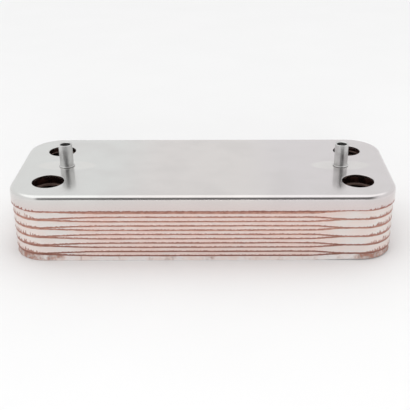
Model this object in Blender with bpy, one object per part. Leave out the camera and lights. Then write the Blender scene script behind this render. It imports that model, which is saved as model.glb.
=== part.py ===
"""Brazed plate heat exchanger of a combination boiler, as an assembly of its separate pieces.

A drawn cover with four ports and two hollow studs closes a nest of ten pressed channel plates, and a
blank end plate closes it below. Each plate is a tray turned upside down: a corrugated floor and a skirt
that flares downwards over the skirt of the next plate. A copper seam runs round the stack under every rim.

Frame: metres, +Z up, origin at the middle of the base, X along the length, ports and studs on top.
"""

import math

import bmesh
import bpy
from mathutils import Vector
from mathutils.geometry import delaunay_2d_cdt

MM = 0.001

# Overall sizes
LENGTH = 192.0 * MM  # cover, outside
WIDTH = 78.0 * MM  # cover, outside
CORNER_RADIUS = 17.2 * MM  # cover's plan corner, outside
CLEARANCE = 0.3 * MM  # between neighbouring pieces
SEAM_CLEARANCE = 0.2 * MM  # between a copper seam and the sheets it joins

# Plate nest
CHANNEL_PLATES = 10
PITCH = 2.35 * MM  # from one plate to the next
END_BAND = 3.0 * MM  # end plate's rim below the last channel plate's rim
CHANNEL_SHEET = 0.35 * MM
END_SHEET = 0.7 * MM

# Cover
COVER_SHEET = 1.2 * MM
COVER_DEPTH = 8.8 * MM  # from the top face to the cover's rim
COVER_EDGE_RADIUS = 2.2 * MM

# Ports
PORT_INSET = 18.6 * MM  # from the cover's side and end to a port's centre
FRONT_BORE = 16.0 * MM  # hole in the cover and in the port ring, at the front ports
REAR_BORE = 14.4 * MM  # the same at the rear ports
CHANNEL_BORE = 13.4 * MM  # hole in each channel plate
POCKET_DEPTH = 4.5 * MM  # from the cover's face to the lowered port lands of the first plate
RING_WALL = 1.5 * MM
LAND_MARGIN = 0.6 * MM  # flat land beyond the port ring

# Locating studs
STUD_INSET = 24.6 * MM  # from the cover's end to a stud's centre
STUD_DIAMETER = 7.0 * MM
STUD_HEIGHT = 12.0 * MM
STUD_BORE = 5.1 * MM
STUD_FLOOR = 2.0 * MM  # solid metal under the bore
STUD_CHAMFER = 0.5 * MM
SPIGOT_DIAMETER = 4.5 * MM  # passes through the cover
SPIGOT_LENGTH = 1.6 * MM
FOOT_RING_WIDTH = 0.8 * MM
FOOT_RING_HEIGHT = 0.9 * MM

# Skirts
RIM_WAVE_START = 48.0 * MM  # distance from the end where neighbouring rims begin to draw together
RIM_WAVE_END = 28.0 * MM  # distance from the end where they have met
SEAM_HEIGHT = 0.5 * MM
SEAM_BULGE = 0.2 * MM  # how far a seam stands proud of the rim above it
COVER_SEAM_INSET = 0.25 * MM  # from the cover's side to its seam

# Corrugation
FIELD_INSET = 42.0 * MM  # from the cover's end to the first ridge
FIELD_MARGIN = 5.0 * MM  # flat strip between the corrugation and the plate's shoulder
RIDGE_STEP = 6.0 * MM  # from a ridge to the valley beside it, about
CHEVRON_LEAN = 18.0 * MM  # how far a ridge's middle lies ahead of its ends

# Roundness
CORNER_STEPS = 5
PORT_SIDES = 14
COVER_PORT_SIDES = 24
EDGE_STEPS = 3
TURNED_SIDES = 20

# Worked out from the sizes above
COVER_RIM_Z = END_BAND + CHANNEL_PLATES * PITCH
HEIGHT = COVER_RIM_Z + COVER_DEPTH
PRESS_DEPTH = PITCH - CHANNEL_SHEET - CLEARANCE
FLARE = math.asin((CHANNEL_SHEET + CLEARANCE) / PITCH)  # skirt's lean from the vertical
SKIRT_HALF_SHEET = CHANNEL_SHEET / 2 / math.cos(FLARE)
RIM_INSET = COVER_SHEET + CLEARANCE - PITCH * math.tan(FLARE) + SKIRT_HALF_SHEET
END_SKIRT_INSET = (END_SHEET - CHANNEL_SHEET) / 2 / math.cos(FLARE)
WAVE_OUTER_X = LENGTH / 2 - RIM_WAVE_END
WAVE_INNER_X = LENGTH / 2 - RIM_WAVE_START
PORT_X, PORT_Y = LENGTH / 2 - PORT_INSET, WIDTH / 2 - PORT_INSET
STUD_X = LENGTH / 2 - STUD_INSET
FIRST_LEVEL = HEIGHT - POCKET_DEPTH + PRESS_DEPTH / 2 - CHANNEL_SHEET / 2
LAND_FLAT = max(FRONT_BORE, REAR_BORE) / 2 + RING_WALL + LAND_MARGIN
LAND_RADIUS = LAND_FLAT / math.cos(math.pi / PORT_SIDES)

STEEL = ("stainless_sheet", (0.78, 0.77, 0.76, 1.0), 0.35, 1.0)
DARK_STEEL = ("tempered_ring", (0.16, 0.10, 0.09, 1.0), 0.4, 1.0)
COPPER = ("braze_copper", (0.72, 0.45, 0.38, 1.0), 0.45, 1.0)
TURNED = ("turned_steel", (0.70, 0.70, 0.70, 1.0), 0.25, 1.0)


def clear_scene():
    """Removes the start-up scene's objects."""
    for obj in list(bpy.data.objects):
        bpy.data.objects.remove(obj, do_unlink=True)


def material(name, colour, roughness, metallic):
    """A Principled material, made once for each name."""
    found = bpy.data.materials.get(name)
    if found:
        return found
    made = bpy.data.materials.new(name)
    made.use_nodes = True
    shader = made.node_tree.nodes["Principled BSDF"]
    shader.inputs["Base Color"].default_value = colour
    shader.inputs["Roughness"].default_value = roughness
    shader.inputs["Metallic"].default_value = metallic
    return made


def add_object(name, mesh, place=(0, 0, 0)):
    """Links an object that shows the mesh at the given place."""
    obj = bpy.data.objects.new(name, mesh)
    obj.location = place
    bpy.context.scene.collection.objects.link(obj)
    return obj


def finish_mesh(bm, name, finish):
    """Turns the bmesh into a shaded mesh with outward faces and one material."""
    bmesh.ops.recalc_face_normals(bm, faces=bm.faces)
    mesh = bpy.data.meshes.new(name)
    bm.to_mesh(mesh)
    bm.free()
    mesh.materials.append(material(*finish))
    mesh.shade_smooth()
    mesh.set_sharp_from_angle(angle=math.radians(30))
    return mesh


def end_blend(x):
    """0 in the middle of the stack and 1 at its ends, with a smooth change between."""
    share = (abs(x) - WAVE_INNER_X) / (WAVE_OUTER_X - WAVE_INNER_X)
    share = min(1.0, max(0.0, share))
    return share * share * (3 - 2 * share)


def perimeter():
    """Points round the cover's side, anticlockwise, each with the direction out of it."""
    middle_x, middle_y = LENGTH / 2 - CORNER_RADIUS, WIDTH / 2 - CORNER_RADIUS
    stations = [WAVE_OUTER_X, (WAVE_OUTER_X + WAVE_INNER_X) / 2, WAVE_INNER_X]
    stations += [-x for x in reversed(stations)]
    found = []
    for quarter, (side_x, side_y) in enumerate(((1, 1), (-1, 1), (-1, -1), (1, -1))):
        for step in range(CORNER_STEPS + 1):
            angle = math.pi / 2 * (quarter + step / CORNER_STEPS)
            outward = Vector((math.cos(angle), math.sin(angle)))
            centre = Vector((side_x * middle_x, side_y * middle_y))
            found.append((centre + CORNER_RADIUS * outward, outward))
        if quarter % 2 == 0:
            outward = Vector((0, side_y))
            found += [(Vector((side_x * x, side_y * WIDTH / 2)), outward) for x in stations]
    return found


def outline(inset):
    """Points round a rounded rectangle that lies inset from the cover's side."""
    return [point - inset * outward for point, outward in perimeter()]


def circle(centre, radius, sides):
    """Points round a circle, anticlockwise."""
    turns = [2 * math.pi * (i + 0.5) / sides for i in range(sides)]
    return [centre + radius * Vector((math.cos(a), math.sin(a))) for a in turns]


def port_centres():
    """The four port centres in plan."""
    return [Vector((x * PORT_X, y * PORT_Y)) for y in (-1, 1) for x in (-1, 1)]


def port_radius(centre):
    """The radius of the hole in the cover at a port centre."""
    return (FRONT_BORE if centre.y < 0 else REAR_BORE) / 2


class Plan:
    """A flat layout of loops and creases, filled with triangles, with a height at each point."""

    def __init__(self):
        self.points, self.heights, self.edges, self.holes = [], [], [], []

    def add(self, points, height, closed):
        """Adds a chain of points joined by creases, and gives back their numbers."""
        first = len(self.points)
        numbers = list(range(first, first + len(points)))
        self.points += points
        self.heights += [height] * len(points)
        self.edges += list(zip(numbers, numbers[1:]))
        if closed:
            self.edges.append((numbers[-1], numbers[0]))
        return numbers

    def add_hole(self, centre, radius, sides, height):
        """Adds a round hole."""
        numbers = self.add(circle(centre, radius, sides), height, True)
        self.holes.append((centre, radius * math.cos(math.pi / sides), numbers))

    def triangles(self):
        """The triangles between the creases, without those over the holes."""
        _, _, faces, origins, _, _ = delaunay_2d_cdt(self.points, self.edges, [], 1, 1e-7)
        number = {made: first[0] for made, first in enumerate(origins) if first}
        kept = []
        for face in faces:
            corners = [number[i] for i in face]
            middle = sum((self.points[i] for i in corners), Vector((0, 0))) / 3
            if all((middle - centre).length > inner_radius for centre, inner_radius, _ in self.holes):
                kept.append(corners)
        return kept


def join_loops(bm, first, second):
    """Faces between two closed loops of the same length."""
    count = len(first)
    for i in range(count):
        j = (i + 1) % count
        bm.faces.new((first[i], first[j], second[j], second[i]))


def tray(name, plan, rim_count, sheet, outer_loops, inner_loops, finish):
    """A pressed tray: the plan at two heights, and a skirt whose outer and inner loops run from floor to rim.

    The plan's first rim_count points lie on its outline. The first outer and inner loops replace them.
    """
    bm = bmesh.new()
    upper, lower = [], []
    for i, (point, height) in enumerate(zip(plan.points, plan.heights)):
        if i < rim_count:
            upper.append(bm.verts.new(outer_loops[0][i]))
            lower.append(bm.verts.new(inner_loops[0][i]))
        else:
            upper.append(bm.verts.new((point.x, point.y, height + sheet / 2)))
            lower.append(bm.verts.new((point.x, point.y, height - sheet / 2)))
    for corners in plan.triangles():
        bm.faces.new([upper[i] for i in corners])
        bm.faces.new([lower[i] for i in reversed(corners)])
    for _, _, numbers in plan.holes:
        join_loops(bm, [upper[i] for i in numbers], [lower[i] for i in numbers])
    rims = []
    for surface, loops in ((upper, outer_loops), (lower, inner_loops)):
        above = surface[:rim_count]
        for loop in loops[1:]:
            below = [bm.verts.new(point) for point in loop]
            join_loops(bm, above, below)
            above = below
        rims.append(above)
    join_loops(bm, *rims)
    return finish_mesh(bm, name, finish)


def rim_z(number):
    """Rim height of a plate in the middle of the stack: 0 is the cover, then the channel plates."""
    return COVER_RIM_Z - number * PITCH if number <= CHANNEL_PLATES else 0.0


def rim_wave(number, x):
    """How far a channel plate's rim is raised at x: odd plates reach down at the ends, even ones stay up."""
    if not 1 <= number <= CHANNEL_PLATES:
        return 0.0
    return (-1 if number % 2 else 1) * PITCH / 2 * end_blend(x)


def skirt_inset(number, z):
    """Inset of the middle of a plate's skirt at height z. The thicker end plate lies a little further in."""
    inset = RIM_INSET + (z - COVER_RIM_Z + number * PITCH) * math.tan(FLARE)
    return inset + (END_SKIRT_INSET if number > CHANNEL_PLATES else 0.0)


def loop_at(height_at, inset_at):
    """A loop round the stack, at a height given for each x and an inset given for each x and height."""
    loop = []
    for point, outward in perimeter():
        z = height_at(point.x)
        place = point - inset_at(point.x, z) * outward
        loop.append(Vector((place.x, place.y, z)))
    return loop


def skirt_loop(number, height_at, offset):
    """A loop beside the middle of a plate's skirt, offset inwards."""
    return loop_at(height_at, lambda x, z: skirt_inset(number, z) + offset)


def lands(plan, level, raised_side):
    """Adds the four port holes and the flat lands round them, raised on one long side and lowered on the other."""
    for centre in port_centres():
        height = level + (PRESS_DEPTH / 2 if centre.y * raised_side > 0 else -PRESS_DEPTH / 2)
        plan.add_hole(centre, CHANNEL_BORE / 2, PORT_SIDES, height)
        plan.add(circle(centre, LAND_RADIUS, PORT_SIDES), height, True)


def chevrons(plan, level, lean_side, half_width):
    """Adds the herringbone ridges and valleys, which point along X on lean_side."""
    half_length = LENGTH / 2 - FIELD_INSET
    steps = 2 * round(half_length / RIDGE_STEP)
    for i in range(steps + 1):
        x = half_length * (2 * i / steps - 1)
        ends = x - lean_side * CHEVRON_LEAN / 2
        middle = x + lean_side * CHEVRON_LEAN / 2
        height = level + (PRESS_DEPTH / 2 if i % 2 == 0 else -PRESS_DEPTH / 2)
        crease = [Vector((ends, -half_width)), Vector((middle, 0)), Vector((ends, half_width))]
        plan.add(crease, height, False)


def plate_tray(name, number, level, sheet, raised_side):
    """A channel plate, or the blank end plate where raised_side is 0."""
    half_sheet = sheet / 2 / math.cos(FLARE)

    def rim(x):
        return rim_z(number) + rim_wave(number, x)

    outer = [skirt_loop(number, at, -half_sheet) for at in (lambda x: level + sheet / 2, rim)]
    inner = [skirt_loop(number, at, half_sheet) for at in (lambda x: level - sheet / 2, rim)]
    plan = Plan()
    shoulder = outline(skirt_inset(number, level))
    plan.add(shoulder, level, True)
    if raised_side:
        lands(plan, level, raised_side)
        half_width = max(point.y for point in shoulder) - FIELD_MARGIN
        chevrons(plan, level, raised_side, half_width)
    return tray(name, plan, len(shoulder), sheet, outer, inner, STEEL)


def build_channel_plates():
    """Ten plates of two pressings, turn and turn about, each a pitch below the one above."""
    pressings = {}
    for number in range(1, CHANNEL_PLATES + 1):
        kind = number % 2
        if kind not in pressings:
            raised_side = 1 if kind else -1
            level = FIRST_LEVEL - (number - 1) * PITCH
            name = "odd_pressing" if kind else "even_pressing"
            pressings[kind] = (number, plate_tray(name, number, level, CHANNEL_SHEET, raised_side))
        made_as, mesh = pressings[kind]
        add_object(f"channel_plate_{number:02d}", mesh, (0, 0, -(number - made_as) * PITCH))


def end_level():
    """Middle of the end plate's floor: clear below the last channel plate's valleys."""
    last = FIRST_LEVEL - (CHANNEL_PLATES - 1) * PITCH
    return last - PRESS_DEPTH / 2 - CHANNEL_SHEET / 2 - CLEARANCE - END_SHEET / 2


def build_end_plate():
    """The blank plate that closes the stack and carries it on its rim."""
    number = CHANNEL_PLATES + 1
    add_object("end_plate", plate_tray("end_pressing", number, end_level(), END_SHEET, 0))


def flat_loop(inset, z):
    """A level loop at an inset."""
    return [Vector((point.x, point.y, z)) for point in outline(inset)]


def cover_loops(sheet_inset):
    """Loops of the cover's outer face (sheet_inset 0) or inner face, from the flat top to the rim."""
    radius = COVER_EDGE_RADIUS - sheet_inset
    loops = []
    for step in range(EDGE_STEPS + 1):
        angle = math.pi / 2 * step / EDGE_STEPS
        inset = COVER_EDGE_RADIUS - radius * math.sin(angle)
        z = HEIGHT - COVER_EDGE_RADIUS + radius * math.cos(angle)
        loops.append(flat_loop(inset, z))
    loops.append(flat_loop(sheet_inset, COVER_RIM_Z))
    return loops


def build_cover():
    """The drawn cover, with four port holes and two holes for the studs' spigots."""
    level = HEIGHT - COVER_SHEET / 2
    plan = Plan()
    edge = outline(COVER_EDGE_RADIUS)
    plan.add(edge, level, True)
    for centre in port_centres():
        plan.add_hole(centre, port_radius(centre), COVER_PORT_SIDES, level)
    for x in (-STUD_X, STUD_X):
        plan.add_hole(Vector((x, 0)), SPIGOT_DIAMETER / 2 + CLEARANCE, PORT_SIDES, level)
    loops = cover_loops(0.0), cover_loops(COVER_SHEET)
    add_object("cover_plate", tray("cover_pressing", plan, len(edge), COVER_SHEET, *loops, STEEL))


def turned(name, profile, sides, finish):
    """A closed profile of (radius, height) points, spun round the vertical axis."""
    bm = bmesh.new()
    corners = [bm.verts.new((radius, 0, z)) for radius, z in profile]
    edges = [bm.edges.new((a, b)) for a, b in zip(corners, corners[1:] + corners[:1])]
    bmesh.ops.spin(
        bm,
        geom=corners + edges,
        cent=(0, 0, 0),
        axis=(0, 0, 1),
        angle=2 * math.pi,
        steps=sides,
        use_merge=True,
    )
    bmesh.ops.remove_doubles(bm, verts=bm.verts, dist=0.001 * MM)
    on_axis = [edge for edge in bm.edges if len(edge.link_faces) == 0]
    bmesh.ops.delete(bm, geom=on_axis, context="EDGES")
    return finish_mesh(bm, name, finish)


def build_port_rings():
    """The ring between the cover and the first plate at each port, tall over a lowered land."""
    top = HEIGHT - COVER_SHEET - CLEARANCE
    names = ("front_left", "front_right", "rear_left", "rear_right")
    for name, centre in zip(names, port_centres()):
        land = FIRST_LEVEL + math.copysign(PRESS_DEPTH / 2, centre.y)
        foot = land + CHANNEL_SHEET / 2 + CLEARANCE
        inner = port_radius(centre)
        outer = inner + RING_WALL
        profile = [(inner, foot), (outer, foot), (outer, top), (inner, top)]
        mesh = turned(f"port_ring_{name}", profile, COVER_PORT_SIDES, DARK_STEEL)
        add_object(f"port_ring_{name}", mesh, (centre.x, centre.y, 0))


def build_studs():
    """Two hollow studs on the centre line, each with a spigot through the cover and a welded ring at its foot."""
    foot = HEIGHT + CLEARANCE / 2
    top = HEIGHT + STUD_HEIGHT
    outer, bore, spigot = STUD_DIAMETER / 2, STUD_BORE / 2, SPIGOT_DIAMETER / 2
    stud = [
        (0, HEIGHT - SPIGOT_LENGTH),
        (spigot, HEIGHT - SPIGOT_LENGTH),
        (spigot, foot),
        (outer, foot),
        (outer, top - STUD_CHAMFER),
        (outer - STUD_CHAMFER, top),
        (bore, top),
        (bore, HEIGHT + STUD_FLOOR),
        (0, HEIGHT + STUD_FLOOR),
    ]
    ring_bore = outer + SEAM_CLEARANCE
    ring_foot = HEIGHT + SEAM_CLEARANCE
    ring = [
        (ring_bore, ring_foot),
        (ring_bore + FOOT_RING_WIDTH, ring_foot),
        (ring_bore + FOOT_RING_WIDTH / 2, ring_foot + FOOT_RING_HEIGHT * 0.6),
        (ring_bore, ring_foot + FOOT_RING_HEIGHT),
    ]
    stud_mesh = turned("stud", stud, TURNED_SIDES, TURNED)
    ring_mesh = turned("foot_ring", ring, TURNED_SIDES, TURNED)
    for side, x in (("left", -STUD_X), ("right", STUD_X)):
        add_object(f"locating_stud_{side}", stud_mesh, (x, 0, 0))
        add_object(f"stud_foot_ring_{side}", ring_mesh, (x, 0, 0))


def build_seams():
    """The copper seam under each rim, between that rim and the skirt of the plate below it."""
    for number in range(CHANNEL_PLATES + 1):
        below = number + 1
        sheet = END_SHEET if below > CHANNEL_PLATES else CHANNEL_SHEET
        against_skirt = -(sheet / 2 + SEAM_CLEARANCE) / math.cos(FLARE)

        def rim(x, number=number):
            return rim_z(number) + rim_wave(number, x)

        def top(x, rim=rim):
            return rim(x) - SEAM_CLEARANCE

        def bottom(x, top=top):
            return top(x) - SEAM_HEIGHT

        def face(x, z, number=number, rim=rim):
            if number == 0:
                return COVER_SEAM_INSET
            drawn_in = end_blend(x) if number % 2 == 0 else 0.0
            return skirt_inset(number, rim(x)) - SKIRT_HALF_SHEET - SEAM_BULGE * (1 - drawn_in)

        loops = [skirt_loop(below, at, against_skirt) for at in (top, bottom)]
        loops += [loop_at(at, face) for at in (bottom, top)]
        bm = bmesh.new()
        rings = [[bm.verts.new(point) for point in loop] for loop in loops]
        for first, second in zip(rings, rings[1:] + rings[:1]):
            join_loops(bm, first, second)
        name = f"copper_seam_{below:02d}"
        add_object(name, finish_mesh(bm, name, COPPER))


def main():
    clear_scene()
    build_cover()
    build_port_rings()
    build_studs()
    build_channel_plates()
    build_end_plate()
    build_seams()


main()
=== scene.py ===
"""The looks of a brazed plate heat exchanger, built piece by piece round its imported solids.

Every piece stands for one solid of the frame, in metres, with +X along the length and +Z out of the
cover.
"""

import logging
import math
from collections.abc import Callable
from dataclasses import dataclass, field
from enum import Enum

import bmesh
import bpy
from mathutils import Matrix, Vector


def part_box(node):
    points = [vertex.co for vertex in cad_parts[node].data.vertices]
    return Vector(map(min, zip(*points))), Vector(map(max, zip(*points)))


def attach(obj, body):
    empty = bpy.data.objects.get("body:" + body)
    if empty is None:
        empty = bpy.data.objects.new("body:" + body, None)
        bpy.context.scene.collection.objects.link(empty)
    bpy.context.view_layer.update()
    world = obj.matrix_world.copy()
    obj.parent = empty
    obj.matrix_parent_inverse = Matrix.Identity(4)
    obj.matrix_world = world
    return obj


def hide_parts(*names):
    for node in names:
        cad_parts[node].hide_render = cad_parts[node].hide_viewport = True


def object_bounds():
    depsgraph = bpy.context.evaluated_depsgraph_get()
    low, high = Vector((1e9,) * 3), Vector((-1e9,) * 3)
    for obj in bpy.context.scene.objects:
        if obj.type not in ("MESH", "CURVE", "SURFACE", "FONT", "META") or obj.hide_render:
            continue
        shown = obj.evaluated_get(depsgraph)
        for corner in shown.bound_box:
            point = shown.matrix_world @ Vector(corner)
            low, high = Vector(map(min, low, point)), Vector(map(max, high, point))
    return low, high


MM = 0.001
NEAR = 0.01 * MM  # places closer than this count as the same
BODY = "root"

ENDS = ("left", "right")

# What is stored at each vertex for a finish to read
ABOVE_RIM = "above_rim"  # millimetres above the plate's own rim
WETTING = "wetting"  # how much braze has wetted the plate where its rim meets the next

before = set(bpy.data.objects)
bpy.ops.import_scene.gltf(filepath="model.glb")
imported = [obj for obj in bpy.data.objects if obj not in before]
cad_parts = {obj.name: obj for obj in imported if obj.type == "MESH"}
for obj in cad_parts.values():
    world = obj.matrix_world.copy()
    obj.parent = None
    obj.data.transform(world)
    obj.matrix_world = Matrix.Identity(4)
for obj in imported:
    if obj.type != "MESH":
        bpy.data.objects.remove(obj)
cad_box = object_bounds()
log = logging.getLogger("heat_exchanger")


# ---------------------------------------------------------------- tools of the bench


class Pick(Enum):
    """What kind of mesh element is chosen, as Blender's select mode."""

    VERTEX = (True, False, False)
    EDGE = (False, True, False)
    FACE = (False, False, True)


def middle_of(element: bmesh.types.BMVert | bmesh.types.BMEdge | bmesh.types.BMFace) -> Vector:
    """Where a vertex is, or the middle of an edge or a face.

    Args:
        element: The vertex, edge or face.

    Returns:
        The place.
    """
    if isinstance(element, bmesh.types.BMVert):
        return element.co
    return sum((vertex.co for vertex in element.verts), Vector()) / len(element.verts)


class Workpiece:
    """A mesh object on the bench, shaped in edit mode with Blender's own operators."""

    def __init__(self, name: str) -> None:
        """Takes over the object that an operator has just added.

        Args:
            name: The name that the object and its mesh get.
        """
        self.object = bpy.context.object
        self.object.name = name
        self.object.data.name = name

    @staticmethod
    def clear_selection() -> None:
        """Leaves nothing selected, in object mode."""
        if bpy.context.object and bpy.context.object.mode != "OBJECT":
            bpy.ops.object.mode_set(mode="OBJECT")
        bpy.ops.object.select_all(action="DESELECT")

    @classmethod
    def plane(cls, name: str, length: float, width: float, height: float) -> "Workpiece":
        """A flat rectangle about the Z axis.

        Args:
            name: The piece's name.
            length: Its size along X.
            width: Its size along Y.
            height: Where it lies on Z.

        Returns:
            The piece, in edit mode with its face selected.
        """
        cls.clear_selection()
        bpy.ops.mesh.primitive_plane_add(size=1, location=(0, 0, height))
        piece = cls(name)
        bpy.ops.transform.resize(value=(length, width, 1))
        bpy.ops.object.transform_apply()
        bpy.ops.object.mode_set(mode="EDIT")
        return piece

    @classmethod
    def cylinder(cls, name: str, radius: float, low: Vector, height: float, sides: int) -> "Workpiece":
        """An upright cylinder.

        Args:
            name: The piece's name.
            radius: Its radius.
            low: The middle of its foot.
            height: Its height.
            sides: How many sides stand for its round wall.

        Returns:
            The piece, in edit mode.
        """
        cls.clear_selection()
        place = low + Vector((0, 0, height / 2))
        bpy.ops.mesh.primitive_cylinder_add(vertices=sides, radius=radius, depth=height, location=place)
        piece = cls(name)
        bpy.ops.object.transform_apply()
        bpy.ops.object.mode_set(mode="EDIT")
        return piece

    def pick(self, kind: Pick, test: Callable[[Vector], bool]) -> None:
        """Selects the elements whose middle passes a test, and nothing else.

        Args:
            kind: Vertices, edges or faces.
            test: Takes an element's middle and says whether it is wanted.
        """
        bpy.ops.mesh.select_all(action="DESELECT")
        bpy.context.tool_settings.mesh_select_mode = kind.value
        mesh = bmesh.from_edit_mesh(self.object.data)
        elements = {Pick.VERTEX: mesh.verts, Pick.EDGE: mesh.edges, Pick.FACE: mesh.faces}[kind]
        for element in elements:
            if test(middle_of(element)):
                element.select_set(True)
        mesh.select_flush_mode()
        bmesh.update_edit_mesh(self.object.data)

    def apply_modifier(self, kind: str, **settings: object) -> None:
        """Adds a modifier and applies it.

        Args:
            kind: The modifier's type.
            **settings: Its settings.
        """
        self.to_object_mode()
        modifier = self.object.modifiers.new(kind.lower(), kind)
        for key, value in settings.items():
            setattr(modifier, key, value)
        bpy.ops.object.modifier_apply(modifier=modifier.name)

    def to_object_mode(self) -> None:
        """Leaves edit mode, with this piece alone selected."""
        self.clear_selection()
        self.object.select_set(True)
        bpy.context.view_layer.objects.active = self.object

    def to_edit_mode(self) -> None:
        """Enters edit mode on this piece."""
        self.to_object_mode()
        bpy.ops.object.mode_set(mode="EDIT")

    def round_corners(self, radius: float, segments: int) -> None:
        """Rounds the four corners of a flat rectangle.

        Args:
            radius: The corners' radius.
            segments: How many straight steps make a corner.
        """
        bpy.ops.mesh.select_all(action="SELECT")
        bpy.ops.mesh.bevel(offset=radius, segments=segments, affect="VERTICES", profile=0.5)

    def cut_across(self, stations: list[float]) -> None:
        """Cuts the piece along planes across X.

        Args:
            stations: The planes' places on X.
        """
        for x in stations:
            bpy.ops.mesh.select_all(action="SELECT")
            bpy.ops.mesh.bisect(plane_co=(x, 0, 0), plane_no=(1, 0, 0))

    def step_in(self, steps: list[tuple[float, float]]) -> None:
        """Draws the selected faces in and up again and again, leaving a wall behind.

        Args:
            steps: How far in and how far up each step goes.
        """
        for inwards, upwards in steps:
            bpy.ops.mesh.inset(thickness=inwards, depth=upwards, use_even_offset=True)

    def cut_hole(self, centre: Vector, radius: float, sides: int) -> None:
        """Cuts a round hole along Z right through the piece.

        Args:
            centre: Any point on the hole's axis.
            radius: The hole's radius.
            sides: How many sides stand for its round wall.
        """
        reach = 60 * MM
        cutter = Workpiece.cylinder("cutter", radius, centre - Vector((0, 0, reach)), 2 * reach, sides)
        cutter.to_object_mode()
        self.apply_modifier("BOOLEAN", object=cutter.object, operation="DIFFERENCE", solver="EXACT")
        bpy.data.objects.remove(cutter.object)

    def store(self, name: str, value_at: Callable[[Vector], float]) -> None:
        """Stores a value at each vertex for a finish to read.

        Args:
            name: The attribute's name.
            value_at: Takes a vertex's place and gives its value.
        """
        self.to_object_mode()
        mesh = self.object.data
        values = mesh.attributes.new(name, "FLOAT", "POINT")
        for vertex, item in zip(mesh.vertices, values.data):
            item.value = value_at(vertex.co)

    def thicken(self, sheet: float) -> None:
        """Gives a skin its sheet's thickness, inwards."""
        self.apply_modifier("SOLIDIFY", thickness=sheet, offset=-1, use_even_offset=True)

    def roughen(self, lump: float, depth: float) -> None:
        """Makes the surface lumpy.

        Args:
            lump: The size of a lump.
            depth: How far the highest place stands out from the lowest.
        """
        lumps = bpy.data.textures.new(f"lumps_{self.object.name}", "CLOUDS")
        lumps.noise_scale = lump
        self.apply_modifier("DISPLACE", texture=lumps, strength=depth, mid_level=0.5)

    def finish(self, node: str, slot: "Slot", material: bpy.types.Material, smooth: float = 32.0) -> None:
        """Dresses the piece and puts it in the place of a solid.

        Args:
            node: The solid that it stands for.
            slot: The record's material slot; not used.
            material: Its finish.
            smooth: The angle in degrees under which neighbouring faces are shaded as one.
        """
        self.to_edit_mode()
        bpy.ops.mesh.select_all(action="SELECT")
        bpy.ops.mesh.remove_doubles(threshold=0.002 * MM)
        bpy.ops.mesh.normals_make_consistent(inside=False)
        self.to_object_mode()
        bpy.ops.object.shade_smooth_by_angle(angle=math.radians(smooth))
        self.apply_modifier("WEIGHTED_NORMAL", keep_sharp=True)
        self.object.data.materials.clear()
        self.object.data.materials.append(material)
        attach(self.object, BODY)
        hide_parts(node)
        log.info("%s: %d faces, for %s", self.object.name, len(self.object.data.polygons), node)

    def copy(self, name: str, move: Vector) -> "Workpiece":
        """Copies the piece, with a mesh of its own, to another place.

        Args:
            name: The copy's name.
            move: How far it is moved.

        Returns:
            The copy.
        """
        self.to_object_mode()
        bpy.ops.object.duplicate()
        twin = Workpiece(name)
        bpy.ops.transform.translate(value=move)
        bpy.ops.object.transform_apply()
        return twin


def quarter_round(radius: float, count: int) -> list[tuple[float, float]]:
    """Steps that turn an upright wall into a flat face along a quarter of a circle.

    Args:
        radius: The circle's radius.
        count: How many steps there are.

    Returns:
        How far in and how far up each step goes.
    """
    angles = [math.pi / 2 * i / count for i in range(count + 1)]
    return [
        (radius * (math.cos(start) - math.cos(end)), radius * (math.sin(end) - math.sin(start)))
        for start, end in zip(angles, angles[1:])
    ]


# ---------------------------------------------------------------- finishes


class Slot(Enum):
    """The record's material slots."""

    SHEET = "stainless_sheet"
    RING = "tempered_ring"
    COPPER = "braze_copper"
    TURNED = "turned_steel"


def linear(hex_colour: str) -> tuple[float, float, float, float]:
    """Turns an sRGB hex colour into Blender's linear one.

    Args:
        hex_colour: Six hex digits.

    Returns:
        Red, green, blue and alpha.
    """
    channels = [int(hex_colour[i : i + 2], 16) / 255 for i in (0, 2, 4)]
    turned = [c / 12.92 if c <= 0.04045 else ((c + 0.055) / 1.055) ** 2.4 for c in channels]
    return (*turned, 1.0)


def per(size_mm: float) -> float:
    """How often a pattern of a real size, in millimetres, repeats in a metre."""
    return 1 / (size_mm * MM)


class NodeBench:
    """The nodes of a material or of the surroundings, in the making."""

    def __init__(self, tree: bpy.types.NodeTree) -> None:
        """Takes a tree to add nodes to.

        Args:
            tree: The node tree.
        """
        self.tree = tree

    def feed(self, node: bpy.types.Node, inputs: dict[str | int, object]) -> None:
        """Sets or links a node's sockets.

        Args:
            node: The node.
            inputs: For each socket a value, a hex colour, or the node or socket that feeds it.
        """
        for key, value in inputs.items():
            socket = node.inputs[key]
            if isinstance(value, bpy.types.Node):
                value = next(output for output in value.outputs if output.enabled)
            if isinstance(value, bpy.types.NodeSocket):
                self.tree.links.new(value, socket)
            else:
                socket.default_value = linear(value) if isinstance(value, str) else value

    def add(self, kind: str, inputs: dict[str | int, object], **settings: object) -> bpy.types.Node:
        """Adds a node with its settings and links.

        Args:
            kind: The node's type, without its prefix.
            inputs: What feeds its sockets.
            **settings: The node's own settings.

        Returns:
            The node.
        """
        node = self.tree.nodes.new("ShaderNode" + kind)
        for key, value in settings.items():
            setattr(node, key, value)
        self.feed(node, inputs)
        return node


# Sockets by number: a Map Range has its value at 0, the range it comes from at 1 and 2 and the range it goes
# to at 3 and 4. A Mix has its share at 0, two colours at 6 and 7, and two numbers at 2 and 3.
SMOOTH = {"interpolation_type": "SMOOTHSTEP"}
COLOUR = {"data_type": "RGBA"}


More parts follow.
